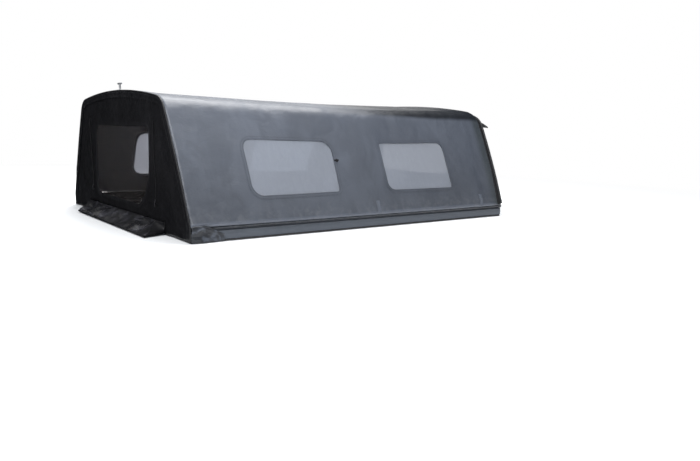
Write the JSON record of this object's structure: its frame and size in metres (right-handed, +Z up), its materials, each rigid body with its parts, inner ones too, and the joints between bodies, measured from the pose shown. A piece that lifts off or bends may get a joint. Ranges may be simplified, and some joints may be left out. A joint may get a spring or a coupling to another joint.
{
  "type": "pickup truck canopy",
  "caption": "Soft vinyl canopy for a small pickup load bed, stretched over bent tube bows on bed rails, with clear windows and a rear curtain.",
  "frame": {"origin": "middle of the canopy on the plane of the bed rails that it stands on", "axes": "+Z up, +Y towards the cab, +X to the right-hand side of the vehicle"},
  "size_m": [1.334, 1.91, 0.5831],
  "materials": {
    "cover_vinyl": "coated vinyl, fine grain, soft sheen",
    "clear_vinyl": "clear flexible sheet, slightly smoky",
    "hem_welt": "black welt",
    "zip_tape": "grey moulded zip on woven tape",
    "bow_steel": "black paint, semi-gloss",
    "rail_aluminium": "dark anodised extrusion",
    "seal_rubber": "black foam rubber",
    "bolt_steel": "zinc plated"
  },
  "bodies": {
    "root": {"cab_bow": "bow_steel", "cab_roof_flap": "cover_vinyl", "cab_seal": "seal_rubber", "cab_window": "clear_vinyl", "crown_wing_bolt": "bolt_steel", "front_base_rail": "rail_aluminium", "front_bow": "bow_steel", "front_panel": "cover_vinyl", "front_rail_seal": "seal_rubber", "left_base_rail": "rail_aluminium", "left_bow_feet": "bow_steel", "left_front_latch": "bolt_steel", "left_front_side_window": "clear_vinyl", "left_hem_rope": "hem_welt", "left_rail_seal": "seal_rubber", "left_rear_side_window": "clear_vinyl", "left_rear_tuck": "cover_vinyl", "left_shoulder_purlin": "bow_steel", "left_side_cover": "cover_vinyl", "left_zip": "zip_tape", "middle_bow": "bow_steel", "rear_apron": "cover_vinyl", "rear_binding": "cover_vinyl", "rear_bow": "bow_steel", "rear_curtain": "cover_vinyl", "rear_window": "clear_vinyl", "ridge_purlin": "bow_steel", "right_base_rail": "rail_aluminium", "right_bow_feet": "bow_steel", "right_front_latch": "bolt_steel", "right_front_side_window": "clear_vinyl", "right_hem_rope": "hem_welt", "right_rail_seal": "seal_rubber", "right_rear_side_window": "clear_vinyl", "right_rear_tuck": "cover_vinyl", "right_shoulder_purlin": "bow_steel", "right_side_cover": "cover_vinyl", "right_zip": "zip_tape", "roof_cover": "cover_vinyl"}
  },
  "joints": []
}
